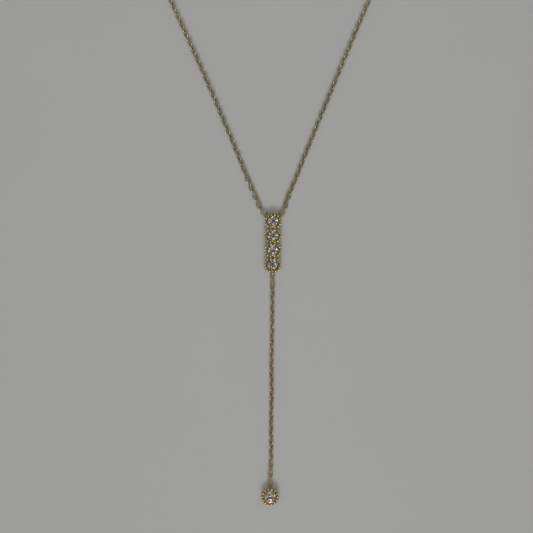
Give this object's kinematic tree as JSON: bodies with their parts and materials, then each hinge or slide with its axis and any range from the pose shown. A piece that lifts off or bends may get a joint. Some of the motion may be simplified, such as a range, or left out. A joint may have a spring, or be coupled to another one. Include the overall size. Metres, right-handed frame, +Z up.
{
  "type": "necklace",
  "caption": "Y necklace lying flat: fine cable chain neck loop with a barrel clasp, a bar of round stones in beaded cups, and a drop chain that ends in a set stone.",
  "frame": {"origin": "on the flat back of the bar, midway between its middle two stones, on the surface that the necklace lies on", "axes": "+Y along the bar from the drop towards the neck loop, +X to the right seen from above, +Z up off the surface"},
  "size_m": [0.1088, 0.2458, 0.002],
  "materials": {
    "gold": "polished yellow gold, softly worn",
    "stone": "clear, brilliant cut"
  },
  "bodies": {
    "root": {"bar": "gold", "stone_1": "stone", "stone_2": "stone", "stone_3": "stone", "stone_4": "stone", "drop_setting": "gold", "drop_stone": "stone", "chain_left": "gold", "chain_right": "gold", "drop_chain": "gold", "bar_link_left": "gold", "bar_link_right": "gold", "drop_link_top": "gold", "drop_link_bottom": "gold", "clasp": "gold", "clasp_link_left": "gold", "clasp_link_right": "gold"}
  },
  "joints": []
}
